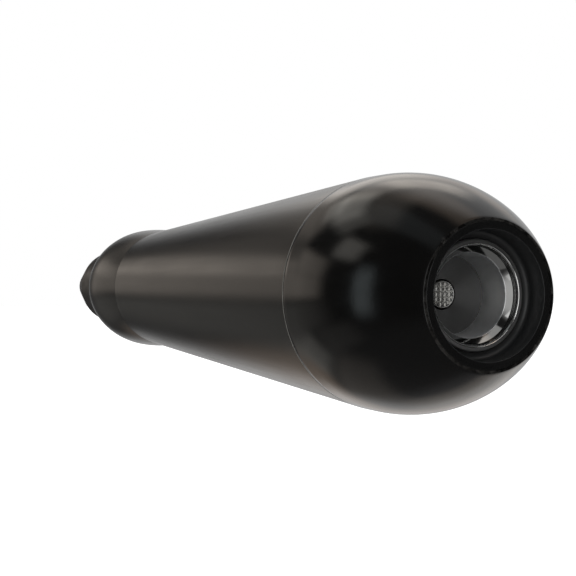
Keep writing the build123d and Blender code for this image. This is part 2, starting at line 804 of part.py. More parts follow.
# Button clip: an open ring in the stem's groove, which stops on the cap's web
clip_bore_r = stem_r - clip_groove_depth
with BuildPart() as button_clip:
    with BuildSketch(Plane.YZ.offset(clip_x)):
        Circle(clip_diameter / 2)
        Circle(clip_bore_r, mode=Mode.SUBTRACT)
        with Locations((0, clip_diameter / 2)):
            Rectangle(clip_mouth_width, clip_diameter, mode=Mode.SUBTRACT)
    extrude(amount=clip_thickness)
button_clip.part.label = "button_clip"
export_step(button_clip.part, "parts/button_clip.step")
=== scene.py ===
import bpy
import bmesh
import json
import math
from mathutils import Vector, Matrix


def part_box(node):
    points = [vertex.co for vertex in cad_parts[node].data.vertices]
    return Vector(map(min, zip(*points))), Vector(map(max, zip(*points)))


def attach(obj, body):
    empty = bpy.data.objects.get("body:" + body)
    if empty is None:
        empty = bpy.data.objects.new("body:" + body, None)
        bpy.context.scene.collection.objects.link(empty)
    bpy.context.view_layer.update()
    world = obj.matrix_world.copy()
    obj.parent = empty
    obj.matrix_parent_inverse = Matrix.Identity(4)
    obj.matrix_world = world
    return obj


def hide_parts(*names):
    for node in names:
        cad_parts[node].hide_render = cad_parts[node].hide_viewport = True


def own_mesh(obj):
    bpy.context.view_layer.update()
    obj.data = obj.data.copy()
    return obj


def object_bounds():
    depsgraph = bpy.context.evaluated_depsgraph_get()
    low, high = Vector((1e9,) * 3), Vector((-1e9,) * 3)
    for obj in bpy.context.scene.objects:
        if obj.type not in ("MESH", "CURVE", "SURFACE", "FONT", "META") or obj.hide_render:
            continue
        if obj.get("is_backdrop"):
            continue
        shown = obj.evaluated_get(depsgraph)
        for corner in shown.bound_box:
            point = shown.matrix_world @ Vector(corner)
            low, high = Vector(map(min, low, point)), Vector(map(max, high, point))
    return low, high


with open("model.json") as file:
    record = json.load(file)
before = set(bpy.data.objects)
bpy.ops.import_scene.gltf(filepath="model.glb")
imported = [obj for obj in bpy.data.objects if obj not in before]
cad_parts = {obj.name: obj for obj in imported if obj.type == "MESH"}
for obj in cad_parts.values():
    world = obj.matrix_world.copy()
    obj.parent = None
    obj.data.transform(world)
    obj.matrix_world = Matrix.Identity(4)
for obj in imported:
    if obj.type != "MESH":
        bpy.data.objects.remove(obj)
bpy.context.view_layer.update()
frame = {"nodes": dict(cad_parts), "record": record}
nodes = frame["nodes"]
MM = 0.001
SIDES = 192

# Stations along the pen's axis and radii, in millimetres, as in the CAD model
SEAM, TRAY, JOINT, SPIGOT, SHOULDER = -21.7, -28.7, -106.5, -98.5, -62.0
BUTTON, NOSE, NECK = -136.5, -143.65, -131.9
SEAM_R, CHAMBER_R, CELL_BORE_R = 14.896, 11.496, 8.7
TUBE_REAR_R, COUNTERBORE_R, SPIGOT_R = 11.2, 10.3, 10.2
FACE_R, BEZEL_R, BEZEL_BORE_R, BEZEL_LIP_R = 8.55, 8.2, 7.25, 6.34
LIP, FLANGE, CUP_SEAT, FLOOR = -2.6, -3.4, -4.4, -8.1
CUP_MOUTH_R, CUP_FLOOR_R, CUP_LIP_R, BODY_R = 5.65, 4.6, 6.3, 6.6
CHAMFER_FRONT, CHAMFER_BACK = -3.45, -3.88
INSULATOR_BACK, LOCK_BACK = -14.1, -16.1
LOCK_R, TRAY_BORE_R = 8.0, 9.8

# Grooves of the rubber rings: their middles, the radii of their floors, and half their width
HEAD_SEAL, TAIL_SEAL, BUTTON_SEAL = -25.2, -104.5, NECK - 1.8
HEAD_GROOVE_R, TAIL_GROOVE_R, BUTTON_GROOVE_R = 10.35, 9.15, 5.1
GROOVE = 0.6


def arc(start, tangent, end, steps):
    """Points from start to end on the circle that leaves start along tangent."""
    s, e, t = Vector(start), Vector(end), Vector(tangent).normalized()
    n = Vector((-t.y, t.x))
    d = e - s
    r = d.length_squared / (2 * d.dot(n))
    c = s + n * r
    a0 = math.atan2(s.y - c.y, s.x - c.x)
    a1 = math.atan2(e.y - c.y, e.x - c.x)
    turn = (a1 - a0 + math.pi) % (2 * math.pi) - math.pi
    return [(c.x + abs(r) * math.cos(a0 + turn * i / steps), c.y + abs(r) * math.sin(a0 + turn * i / steps))
            for i in range(1, steps + 1)]


def rounded(points, radius, steps=4, keep=()):
    """A closed outline with its sharp corners cut by small arcs, but for those in keep and those on the axis."""
    out = []
    n = len(points)
    for i, p in enumerate(points):
        a, b, c = Vector(points[i - 1]), Vector(p), Vector(points[(i + 1) % n])
        u, v = (a - b), (c - b)
        if i in keep or b.y < 1e-6 or u.length < 1e-6 or v.length < 1e-6 or u.angle(v) > math.radians(165):
            out.append(tuple(b))
            continue
        k = min(radius, u.length * 0.45, v.length * 0.45)
        p0, p1 = b + u.normalized() * k, b + v.normalized() * k
        for j in range(steps + 1):
            t = j / steps
            q = p0 * (1 - t) ** 2 + b * 2 * t * (1 - t) + p1 * t ** 2
            out.append((q.x, q.y))
    return out


def make_object(name, bm, material, body, sharp=32):
    """A visible piece from bm on a body, with edges sharper than that many degrees left sharp."""
    mesh = bpy.data.meshes.new(name)
    bmesh.ops.recalc_face_normals(bm, faces=bm.faces)
    bm.to_mesh(mesh)
    bm.free()
    mesh.shade_smooth()
    mesh.set_sharp_from_angle(angle=math.radians(sharp))
    ob = bpy.data.objects.new(name, mesh)
    bpy.context.scene.collection.objects.link(ob)
    mesh.materials.append(material)
    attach(ob, body)
    return ob


def turned(outline, sides=SIDES, warp=None):
    """A solid of revolution about X from a closed outline of (station, radius) in millimetres."""
    bm = bmesh.new()
    rings = []
    for x, r in outline:
        if r < 1e-6:
            rings.append([bm.verts.new((x * MM, 0, 0))])
            continue
        ring = []
        for k in range(sides):
            a = 2 * math.pi * k / sides
            px, pr = warp(x, r, a) if warp else (x, r)
            ring.append(bm.verts.new((px * MM, pr * math.cos(a) * MM, pr * math.sin(a) * MM)))
        rings.append(ring)
    for one, two in zip(rings, rings[1:] + rings[:1]):
        if len(one) == 1 and len(two) == 1:
            continue
        for k in range(sides):
            j = (k + 1) % sides
            if len(one) == 1:
                bm.faces.new((one[0], two[j], two[k]))
            elif len(two) == 1:
                bm.faces.new((one[k], one[j], two[0]))
            else:
                bm.faces.new((one[k], one[j], two[j], two[k]))
    return bm


def divided(p, q, count):
    """Points after p up to q, evenly spaced."""
    return [(p[0] + (q[0] - p[0]) * i / count, p[1] + (q[1] - p[1]) * i / count) for i in range(1, count + 1)]


def seal_groove(start, end, radius, floor):
    """A square groove from station start to station end."""
    return [(start, radius), (start, floor), (end, floor), (end, radius)]


def shade(color, factor):
    """A lighter or darker colour, no brighter than white."""
    return tuple(min(c * factor, 1) for c in color)


class Shader:
    """A small builder of node materials. Heights of bumps are in metres, and scales of noise are per metre."""

    def __init__(self, name, color, rough, metal=0.0):
        self.mat = bpy.data.materials.new(name)
        self.mat.use_nodes = True
        self.tree = self.mat.node_tree
        self.bsdf = self.tree.nodes["Principled BSDF"]
        self.set("Base Color", (*color, 1))
        self.set("Roughness", rough)
        self.set("Metallic", metal)
        self.coord = self.tree.nodes.new("ShaderNodeTexCoord").outputs["Object"]

    def set(self, socket, value):
        self.bsdf.inputs[socket].default_value = value

    def link(self, a, b):
        self.tree.links.new(a, b)

    def node(self, kind, **props):
        n = self.tree.nodes.new(kind)
        for k, v in props.items():
            setattr(n, k, v)
        return n

    def math(self, op, a, b=0.0):
        n = self.node("ShaderNodeMath", operation=op)
        for i, v in enumerate((a, b)):
            if isinstance(v, (int, float)):
                n.inputs[i].default_value = v
            else:
                self.link(v, n.inputs[i])
        return n.outputs[0]

    def noise(self, scale, detail=3.0, rough=0.5, stretch=(1, 1, 1)):
        m = self.node("ShaderNodeMapping")
        m.inputs["Scale"].default_value = stretch
        self.link(self.coord, m.inputs["Vector"])
        n = self.node("ShaderNodeTexNoise")
        n.inputs["Scale"].default_value = scale
        n.inputs["Detail"].default_value = detail
        n.inputs["Roughness"].default_value = rough
        self.link(m.outputs["Vector"], n.inputs["Vector"])
        return n.outputs["Fac"]

    def spread(self, value, low, high, frm=0.3, to=0.7):
        """Low where value is at frm or below, high at to or above, and even in between."""
        n = self.node("ShaderNodeMapRange")
        n.inputs["From Min"].default_value = frm
        n.inputs["From Max"].default_value = to
        n.inputs["To Min"].default_value = low
        n.inputs["To Max"].default_value = high
        self.link(value, n.inputs["Value"])
        return n.outputs["Result"]

    def mix(self, fac, a, b):
        n = self.node("ShaderNodeMix", data_type="RGBA")
        self.link(fac, n.inputs["Factor"])
        for i, v in ((6, a), (7, b)):
            if isinstance(v, tuple):
                n.inputs[i].default_value = (*v, 1)
            else:
                self.link(v, n.inputs[i])
        return n.outputs[2]

    def part(self, axis):
        n = self.node("ShaderNodeSeparateXYZ")
        self.link(self.coord, n.inputs[0])
        return n.outputs[axis]

    def radius(self):
        squares = [self.math("POWER", self.part(axis), 2.0) for axis in "YZ"]
        return self.math("SQRT", self.math("ADD", *squares))

    def color(self, value):
        self.link(value, self.bsdf.inputs["Base Color"])

    def roughness(self, value):
        self.link(value, self.bsdf.inputs["Roughness"])

    def bump(self, value, distance):
        n = self.node("ShaderNodeBump")
        n.inputs["Distance"].default_value = distance
        n.inputs["Strength"].default_value = 1.0
        self.link(value, n.inputs["Height"])
        self.link(n.outputs["Normal"], self.bsdf.inputs["Normal"])


TURNING = (0.02, 1, 1)
# The second colour here is a painted highlight for the tube's bevel at the seam
WORN_EDGE, SEAM_HIGHLIGHT = (0.05, 0.048, 0.045), (0.15, 0.145, 0.135)


def black_anodised(name, base, rough, cut=None):
    """Bead-blasted and dyed aluminium, its edges worn a little lighter, with a painted highlight on the bevel in front
    of station cut.
    """
    s = Shader(name, base, rough)
    s.set("Specular IOR Level", 0.5)
    cloud = s.noise(60, 4, 0.55)
    grain = s.noise(2600, 2, 0.6)
    streak = s.noise(900, 2, 0.5, TURNING)
    worn = s.node("ShaderNodeNewGeometry").outputs["Pointiness"]
    edge = s.spread(worn, 0.0, 1.0, 0.53, 0.6)
    fleck = s.spread(s.noise(700, 3, 0.6), 0.0, 1.0, 0.42, 0.62)
    tone = s.mix(s.spread(cloud, 0, 1), shade(base, 0.8), shade(base, 1.25))
    tone = s.mix(s.math("MULTIPLY", edge, fleck), tone, WORN_EDGE)
    # Painted highlight: the bevel in front of station cut is coloured lighter, flecked a little
    if cut:
        seam_highlight_band = s.spread(s.part("X"), 0.0, 1.0, (cut - 0.015) * MM, cut * MM)
        tone = s.mix(s.math("MULTIPLY", seam_highlight_band, s.spread(fleck, 0.75, 1.0, 0.0, 1.0)), tone, SEAM_HIGHLIGHT)
    s.color(tone)
    s.roughness(s.math("ADD", s.spread(cloud, rough - 0.025, rough + 0.03), s.spread(streak, -0.02, 0.02)))
    s.bump(grain, 0.0000035)
    return s.mat


def gloss_black(name, base, rough):
    """Polished black ring whose bore is left satin and a little greyer."""
    s = Shader(name, base, rough)
    s.set("Specular IOR Level", 0.5)
    bore = s.spread(s.radius(), 1.0, 0.0, (BEZEL_BORE_R + 0.02) * MM, (BEZEL_BORE_R + 0.15) * MM)
    face = s.mix(s.spread(s.noise(140, 3), 0, 1), base, shade(base, 1.5))
    s.color(s.mix(bore, face, (0.011, 0.0115, 0.012)))
    gloss = s.spread(s.noise(420, 4, 0.6), rough * 0.7, rough * 1.5)
    s.roughness(s.math("ADD", gloss, s.math("MULTIPLY", bore, 0.2)))
    s.bump(s.noise(1500, 2), 0.000001)
    return s.mat


def turned_metal(name, base, rough, lines=9000, tarnish=None):
    """Machined metal: fine turning lines, uneven polish and slight tarnish."""
    s = Shader(name, base, rough, 1.0)
    ring = s.noise(lines, 1, 0.4, (1, 0.02, 0.02))
    blot = s.noise(260, 4, 0.6)
    s.color(s.mix(s.spread(blot, 0, 1, 0.35, 0.75), base, tarnish or shade(base, 0.82)))
    s.roughness(s.math("ADD", s.spread(ring, rough - 0.05, rough + 0.06), s.spread(blot, -0.03, 0.04)))
    s.bump(ring, 0.000002)
    return s.mat


def plastic(name, base, rough, grain=3000, depth=0.000004, shine=0.5):
    """Moulded plastic: slightly uneven in colour and gloss, with a fine grain of that scale and depth."""
    s = Shader(name, base, rough)
    s.set("Specular IOR Level", shine)
    s.color(s.mix(s.spread(s.noise(240, 4), 0, 1), shade(base, 0.86), shade(base, 1.14)))
    s.roughness(s.spread(s.noise(500, 3), rough - 0.06, rough + 0.07))
    s.bump(s.noise(grain, 2), depth)
    return s.mat


def shrink_wrap(name, base, rough):
    """Shrink film round a cell, folded over the rims of its bare steel ends."""
    s = Shader(name, base, rough)
    back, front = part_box("battery_cell")
    ends = s.math("MAXIMUM", s.spread(s.part("X"), 1.0, 0.0, back[0] + 0.02 * MM, back[0] + 0.04 * MM),
                  s.spread(s.part("X"), 0.0, 1.0, front[0] - 0.04 * MM, front[0] - 0.02 * MM))
    fold = s.math("ADD", s.radius(), s.spread(s.noise(700, 2), -0.2 * MM, 0.2 * MM))
    bare = s.math("MULTIPLY", ends, s.spread(fold, 1.0, 0.0, 6.5 * MM, 6.56 * MM))
    film = s.mix(s.spread(s.noise(240, 4), 0, 1), shade(base, 0.86), shade(base, 1.14))
    s.color(s.mix(bare, film, (0.58, 0.58, 0.57)))
    s.link(bare, s.bsdf.inputs["Metallic"])
    s.roughness(s.spread(s.noise(500, 3), rough - 0.06, rough + 0.07))
    s.bump(s.noise(900, 2), 0.000006)
    return s.mat


def rubber(name, base):
    """Dull rubber or sleeving, a little dusty."""
    s = Shader(name, base, 0.62)
    s.color(s.mix(s.spread(s.noise(300, 3), 0, 1), base, shade(base, 1.7)))
    s.roughness(s.spread(s.noise(800, 3), 0.52, 0.72))
    s.bump(s.noise(4200, 2), 0.000005)
    return s.mat


# The second colour is a painted highlight for the edge round the cup's mouth
BRIGHT_WALL, MOUTH_HIGHLIGHT, PLAIN_FLANGE = (0.93, 0.94, 0.95), (0.95, 0.95, 0.93), (0.6, 0.6, 0.6)
LIP_EDGE_R = 5.84


def smoked(name, base, rough, satin):
    """Smoky nickel plate over a machined cup: satin wall, polished chamfer, and a painted highlight on the edge round
    its mouth.
    """
    s = Shader(name, base, rough, 1.0)
    ring = s.noise(5000, 1, 0.4, (1, 0.02, 0.02))
    blot = s.noise(180, 3)
    plate = s.mix(s.spread(blot, 0, 1), shade(base, 0.85), shade(base, 1.15))
    # Painted highlight: the edge round the mouth is coloured near white
    mouth = s.spread(s.part("X"), 0.0, 1.0, (LIP - 0.2) * MM, (LIP - 0.16) * MM)
    edge = s.math("MULTIPLY", mouth, s.spread(s.radius(), 1.0, 0.0, (LIP_EDGE_R - 0.04) * MM, LIP_EDGE_R * MM))
    inner = s.spread(s.part("X"), 1.0, 0.0, (CHAMFER_BACK - 0.04) * MM, (CHAMFER_BACK + 0.04) * MM)
    plate = s.mix(inner, plate, BRIGHT_WALL)
    flange = s.spread(s.radius(), 0.0, 1.0, LIP_EDGE_R * MM, (LIP_EDGE_R + 0.04) * MM)
    plate = s.mix(flange, plate, PLAIN_FLANGE)
    s.color(s.mix(edge, plate, MOUTH_HIGHLIGHT))
    wall = s.math("MULTIPLY", s.math("MAXIMUM", inner, flange), satin)
    polish = s.math("ADD", s.spread(blot, rough * 0.8, rough * 1.3), s.spread(ring, -0.01, 0.015))
    s.roughness(s.math("ADD", polish, wall))
    s.bump(ring, 0.0000008)
    return s.mat


def circuit_board(name):
    """Green solder mask over copper tracks, with bare pads here and there."""
    s = Shader(name, (0.01, 0.09, 0.03), 0.35)
    dots = s.node("ShaderNodeTexVoronoi")
    dots.inputs["Scale"].default_value = 620
    s.link(s.coord, dots.inputs["Vector"])
    track = s.spread(s.noise(90, 1, 0.3, (1, 3, 1)), 0, 1, 0.48, 0.52)
    mask = s.mix(track, (0.008, 0.07, 0.022), (0.02, 0.15, 0.05))
    pad = s.math("MULTIPLY", s.spread(dots.outputs["Distance"], 1, 0, 0.2, 0.24),
                 s.spread(s.noise(160, 0), 0, 1, 0.52, 0.56))
    s.color(s.mix(pad, mask, (0.55, 0.42, 0.16)))
    s.roughness(s.spread(s.noise(900, 3), 0.28, 0.42))
    s.bump(track, 0.00003)
    return s.mat


def winding(name):
    """Enamelled copper wire wound side by side, darkened in the grooves between turns as painted shade."""
    s = Shader(name, (0.55, 0.22, 0.07), 0.3, 1.0)
    wave = s.node("ShaderNodeTexWave", bands_direction="X")
    wave.inputs["Scale"].default_value = 780
    wave.inputs["Distortion"].default_value = 0.6
    s.link(s.coord, wave.inputs["Vector"])
    # Painted shade: the colour goes dark where the bump's grooves lie between turns
    s.color(s.mix(wave.outputs["Fac"], (0.16, 0.05, 0.015), (0.66, 0.3, 0.1)))
    s.roughness(s.spread(s.noise(500, 3), 0.24, 0.4))
    s.bump(wave.outputs["Fac"], 0.00008)
    return s.mat


BLACK = (0.002, 0.0019, 0.0018)
MAT = {
    "black_anodised": black_anodised("black_anodised", BLACK, 0.14),
    "tube_anodised": black_anodised("tube_anodised", BLACK, 0.21, SEAM - 0.17),
    "button_black": plastic("button_black", (0.005, 0.005, 0.0052), 0.36, 2600, 0.000003, 0.3),
    "gloss_black": gloss_black("gloss_black", (0.0035, 0.0035, 0.0035), 0.16),
    "smoked_gloss": smoked("smoked_gloss", (0.24, 0.24, 0.235), 0.07, 0.36),
    "dark_insulator": plastic("dark_insulator", (0.036, 0.036, 0.035), 0.4),
    "bright_contact": turned_metal("bright_contact", (0.82, 0.81, 0.78), 0.24),
    "brass": turned_metal("brass", (0.68, 0.48, 0.2), 0.26, tarnish=(0.42, 0.27, 0.1)),
    "ring_brass": turned_metal("ring_brass", (0.55, 0.41, 0.22), 0.33, tarnish=(0.34, 0.24, 0.12)),
    "spring_steel": turned_metal("spring_steel", (0.5, 0.5, 0.5), 0.24, lines=5000),
    "seal_rubber": rubber("seal_rubber", (0.012, 0.012, 0.012)),
    "lead_sleeve": rubber("lead_sleeve", (0.35, 0.02, 0.018)),
    "moulded_plastic": plastic("moulded_plastic", (0.07, 0.07, 0.075), 0.5),
    "circuit_board": circuit_board("circuit_board"),
    "chip_black": plastic("chip_black", (0.015, 0.015, 0.016), 0.45, 5200),
    "ferrite": plastic("ferrite", (0.035, 0.035, 0.038), 0.38, 1800, 0.00001),
    "winding": winding("winding"),
    "capacitor_can": plastic("capacitor_can", (0.025, 0.03, 0.1), 0.3),
    "cell_wrap": shrink_wrap("cell_wrap", (0.03, 0.09, 0.32), 0.28),
    "solder": turned_metal("solder", (0.6, 0.6, 0.58), 0.3, 3000),
    "washer_card": plastic("washer_card", (0.78, 0.76, 0.7), 0.7, 2200, 0.00001),
}
slot_of = {row["node"]: row["material_slot"] for row in frame["record"]["subparts"]}
for name, ob in nodes.items():
    ob.data.materials.clear()
    ob.data.materials.append(MAT[slot_of[name]])


def stand_for(ob, node):
    """Hides a CAD node, in whose place the visible piece ob stands, and returns ob."""
    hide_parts(node)
    return ob


# Head shell: the dome, its rim, the socket's bores and the sealed spigot
dome = arc((SEAM + 3.0, SEAM_R), (1, 0), (0.0, FACE_R), 48)
outline = [(SEAM, CHAMBER_R), (SEAM, SEAM_R - 0.2)]
outline += [(SEAM, SEAM_R - 0.07), (SEAM + 0.02, SEAM_R - 0.025), (SEAM + 0.07, SEAM_R)]
outline += divided((SEAM + 0.07, SEAM_R), (SEAM + 3.0, SEAM_R), 4)
outline += dome[:-1] + [(-0.05, FACE_R + 0.03), (0.0, FACE_R - 0.03)]
outline += [(0.0, BEZEL_R), (CUP_SEAT, BEZEL_R), (CUP_SEAT, BODY_R), (INSULATOR_BACK, BODY_R)]
outline += [(INSULATOR_BACK, LOCK_R), (LOCK_BACK, LOCK_R), (LOCK_BACK, TRAY_BORE_R), (TRAY, TRAY_BORE_R)]
outline += [(TRAY, CHAMBER_R - 0.15), (TRAY + 0.15, CHAMBER_R)]
outline += seal_groove(HEAD_SEAL - GROOVE, HEAD_SEAL + GROOVE, CHAMBER_R, HEAD_GROOVE_R)
head = make_object("head_dome", turned(outline), MAT["black_anodised"], "handle")
stand_for(head, "head_shell")

# Screw thread between the cap's spigot and the tube: a V wave that winds round, fading out at its ends
THREAD_FRONT, THREAD_BACK, PITCH, THREAD_DEPTH, THREAD_STEPS = SPIGOT - 0.7, SPIGOT - 4.9, 0.8, 0.32, 50


def thread(near, sign):
    """A warp for turned: cuts the thread into the surface of that radius, outwards or inwards."""
    def warp(x, r, a):
        if abs(r - near) > 0.02 or not THREAD_BACK <= x <= THREAD_FRONT:
            return x, r
        turn = (x / PITCH + a / (2 * math.pi)) % 1
        cut = min(1, max(0, 1.5 - abs(turn - 0.5) * 4.2))
        fade = min(1, (THREAD_FRONT - x) / 0.6, (x - THREAD_BACK) / 0.6)
        return x, r + sign * THREAD_DEPTH * cut * fade
    return warp


# Body tube: the long taper, the chamber, the battery's bore and the threaded counterbore for the cap
outline = [(SEAM, CHAMBER_R), (SEAM, SEAM_R - 0.11), (SEAM - 0.18, SEAM_R - 0.014), (SEAM - 0.19, SEAM_R - 0.0142)]
outline += divided((SEAM - 0.2, SEAM_R - 0.0146), (JOINT + 0.06, TUBE_REAR_R + 0.003), 24)
outline += [(JOINT, TUBE_REAR_R - 0.06), (JOINT, COUNTERBORE_R), (THREAD_BACK, COUNTERBORE_R)]
outline += divided((THREAD_BACK, COUNTERBORE_R), (THREAD_FRONT, COUNTERBORE_R), THREAD_STEPS)
outline += [(SPIGOT + 0.5, COUNTERBORE_R), (SPIGOT + 0.5, CELL_BORE_R), (SHOULDER, CELL_BORE_R), (SHOULDER, CHAMBER_R)]
tube = make_object("tube_shell", turned(outline, warp=thread(COUNTERBORE_R, 1)), MAT["tube_anodised"], "handle")
stand_for(tube, "body_tube")

# Tail cap: swells from the joint and rounds off to the button, with a threaded and sealed spigot
CAP_REAR, WEB, WEB_BACK, LEDGE = -135.5, -127.0, -128.5, -119.5
CAP_REAR_R, NECK_BORE_R, STEM_BORE_R, SWITCH_BORE_R = 8.1, 6.3, 3.1, 7.9
swell = (-117.23, 11.77)
front = arc(swell, (1, 0), (JOINT, TUBE_REAR_R), 20)[::-1]
rear = arc(swell, (-1, 0), (CAP_REAR, CAP_REAR_R), 28)
outline = [(JOINT, SPIGOT_R), (JOINT, TUBE_REAR_R - 0.06), (JOINT - 0.06, TUBE_REAR_R + 0.005)]
outline += front[1:] + [swell] + rear[:-1]
outline += [(CAP_REAR + 0.03, CAP_REAR_R - 0.02), (CAP_REAR, CAP_REAR_R - 0.1), (CAP_REAR, NECK_BORE_R)]
outline += [(WEB_BACK, NECK_BORE_R), (WEB_BACK, STEM_BORE_R), (WEB, STEM_BORE_R), (WEB, SWITCH_BORE_R)]
outline += [(LEDGE, SWITCH_BORE_R), (LEDGE, CELL_BORE_R), (SPIGOT, CELL_BORE_R)]
outline += [(SPIGOT, SPIGOT_R - 0.3), (SPIGOT - 0.3, SPIGOT_R), (THREAD_FRONT, SPIGOT_R)]
outline += divided((THREAD_FRONT, SPIGOT_R), (THREAD_BACK, SPIGOT_R), THREAD_STEPS)
outline += seal_groove(TAIL_SEAL + GROOVE, TAIL_SEAL - GROOVE, SPIGOT_R, TAIL_GROOVE_R)
cap = make_object("tail_cap_shell", turned(outline, warp=thread(SPIGOT_R, -1)), MAT["tube_anodised"], "tail_cap")
stand_for(cap, "tail_cap")

# Power button: straight taper to a small dome, shoulder, sealed neck and stem
BUTTON_R, TIP_R, NECK_R, STEM_R = 8.05, 4.2, 6.2, 3.0
STEM_END, CLIP_FRONT, CLIP_BACK, CLIP_R = -124.95, -126.35, -126.95, 2.5
taper = math.radians(12.9)
edge_r = TIP_R * math.cos(taper)
edge_x = NOSE - (BUTTON_R - edge_r) / math.tan(taper)
centre_x = edge_x + TIP_R * math.sin(taper)
steps = 20
turns = [taper + (math.pi / 2 - taper) * i / steps for i in range(1, steps)]
dome = [(centre_x - TIP_R * math.sin(turn), TIP_R * math.cos(turn)) for turn in turns]
outline = [(STEM_END, 0.0), (STEM_END, STEM_R - 0.2), (STEM_END - 0.2, STEM_R)]
outline += [(CLIP_FRONT, STEM_R), (CLIP_FRONT, CLIP_R), (CLIP_BACK, CLIP_R), (CLIP_BACK, STEM_R)]
outline += [(NECK, STEM_R), (NECK, NECK_R)]
outline += seal_groove(BUTTON_SEAL + GROOVE, BUTTON_SEAL - GROOVE, NECK_R, BUTTON_GROOVE_R)
outline += [(BUTTON, NECK_R), (BUTTON, BUTTON_R - 0.13), (BUTTON - 0.04, BUTTON_R - 0.04)]
outline += [(BUTTON - 0.13, BUTTON_R), (BUTTON - 0.16, BUTTON_R), (NOSE + 0.4, BUTTON_R)]
outline += [(NOSE - 0.35, BUTTON_R - 0.075)] + divided((NOSE - 0.35, BUTTON_R - 0.08), (edge_x, edge_r), 12)
outline += dome + [(centre_x - TIP_R, 0.0)]
button = make_object("button_bullet", turned(outline), MAT["button_black"], "power_button")
stand_for(button, "power_button")

# Bezel ring: its bore runs down in a smooth hollow to the cup's lip
hollow = [(-2.55, 7.23), (-2.7, 7.15), (-2.85, 7.0), (-2.95, 6.8), (-3.02, 6.6), (-3.05, 6.4), (-3.12, BEZEL_LIP_R)]
outline = [(0.0, BEZEL_BORE_R), (-2.4, BEZEL_BORE_R)] + hollow
outline += [(FLANGE, BEZEL_LIP_R), (FLANGE, BEZEL_R), (0.0, BEZEL_R)]
outline = rounded(outline, 0.12, keep=range(1, 11))
bezel = make_object("bezel_gloss", turned(outline), MAT["gloss_black"], "handle")
stand_for(bezel, "bezel_ring")

# Socket cup: rounded lip with a bevel that carries a painted highlight, a grooved band, a polished chamfer, the wall
# and the clamping flange
WALL_FRONT_R = 4.86
outline = [(LIP - 0.3, CUP_LIP_R), (LIP - 0.12, CUP_LIP_R - 0.03), (LIP - 0.03, CUP_LIP_R - 0.12)]
outline += [(LIP, CUP_LIP_R - 0.25), (LIP, CUP_MOUTH_R + 0.13), (LIP - 0.015, CUP_MOUTH_R + 0.11)]
outline += [(LIP - 0.14, CUP_MOUTH_R + 0.01), (LIP - 0.17, CUP_MOUTH_R - 0.01)]
outline += [(LIP - 0.4, 5.61), (LIP - 0.42, 5.59), (LIP - 0.6, 5.575), (LIP - 0.62, 5.555), (-3.41, 5.54)]
outline += [(CHAMFER_FRONT, 5.5), (CHAMFER_BACK, WALL_FRONT_R), (CHAMFER_BACK - 0.05, WALL_FRONT_R - 0.04)]
outline += [(FLOOR, CUP_FLOOR_R)]
outline += [(FLOOR, BODY_R), (CUP_SEAT, BODY_R), (CUP_SEAT, BEZEL_R), (FLANGE, BEZEL_R), (FLANGE, CUP_LIP_R)]
cup = make_object("cup_liner", turned(outline), MAT["smoked_gloss"], "handle")
stand_for(cup, "socket_cup")

# Bright turned rim round the pin's serrated face
RIM_FRONT, RIM_BACK, RIM_BORE_R, RIM_R = -9.5, -10.5, 1.44, 1.6
outline = [(RIM_FRONT, RIM_BORE_R), (RIM_FRONT + 0.06, RIM_BORE_R + 0.04), (RIM_FRONT + 0.06, RIM_R - 0.05)]
outline += [(RIM_FRONT, RIM_R), (RIM_BACK, RIM_R), (RIM_BACK - 0.05, RIM_R - 0.05), (RIM_BACK - 0.05, RIM_BORE_R)]
make_object("pin_rim", turned(outline, sides=96), MAT["bright_contact"], "contact_pin")


def coil(name, front, back, diameter, wire, turns, body, node, samples=36, sides=12):
    """A spring of round wire between two stations, in the place of the CAD model's spring of six-sided wire."""
    bm = bmesh.new()
    height = front - back - wire - 0.1
    start = back + wire / 2 + 0.05
    radius = (diameter - wire) / 2
    count = int(turns * samples)
    rings = []
    for i in range(count + 1):
        a = 2 * math.pi * turns * i / count
        x = start + height * i / count
        centre = Vector((x, radius * math.cos(a), radius * math.sin(a)))
        along = Vector((height / (2 * math.pi * turns), -radius * math.sin(a), radius * math.cos(a))).normalized()
        out = Vector((0, math.cos(a), math.sin(a)))
        side = along.cross(out)
        rings.append([bm.verts.new((centre + (out * math.cos(b) + side * math.sin(b)) * wire / 2) * MM)
                      for b in (2 * math.pi * k / sides for k in range(sides))])
    for one, two in zip(rings, rings[1:]):
        for k in range(sides):
            j = (k + 1) % sides
            bm.faces.new((one[k], one[j], two[j], two[k]))
    bm.faces.new(rings[0])
    bm.faces.new(rings[-1][::-1])
    ob = make_object(name, bm, MAT["spring_steel"], body, sharp=50)
    return stand_for(ob, node)


pin_coil = coil("contact_coil", -14.75, -22.0, diameter=2.3, wire=0.34, turns=6,
                body="handle", node="contact_spring")
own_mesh(pin_coil)
coil("battery_coil", -115.0, -118.3, diameter=9.0, wire=0.6, turns=3,
     body="tail_cap", node="battery_spring")
button_coil = coil("button_coil", WEB_BACK, NECK, diameter=9.2, wire=0.5, turns=3,
                   body="tail_cap", node="button_spring")
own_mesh(button_coil)

# Rubber rings of round section
RING_R = 0.53
RINGS = (("head_seal_ring", HEAD_SEAL, 10.92, "handle", "head_seal"),
         ("tail_seal_ring", TAIL_SEAL, 9.72, "tail_cap", "tail_seal"),
         ("button_seal_ring", BUTTON_SEAL, 5.72, "power_button", "button_seal"))
for name, station, radius, body, node in RINGS:
    turns = [math.pi * k / 10 for k in range(20)]
    outline = [(station + RING_R * math.cos(turn), radius + RING_R * math.sin(turn)) for turn in turns]
    stand_for(make_object(name, turned(outline), MAT["seal_rubber"], body), node)

# Height of the driver board's top face, which the parts on it stand on
BOARD_TOP = -3.0


def box(bm, low, high):
    """Adds a plain block between two corners in millimetres."""
    made = bmesh.ops.create_cube(bm, size=1.0)["verts"]
    for v in made:
        v.co = [(low[i] + (high[i] - low[i]) * (v.co[i] + 0.5)) * MM for i in range(3)]


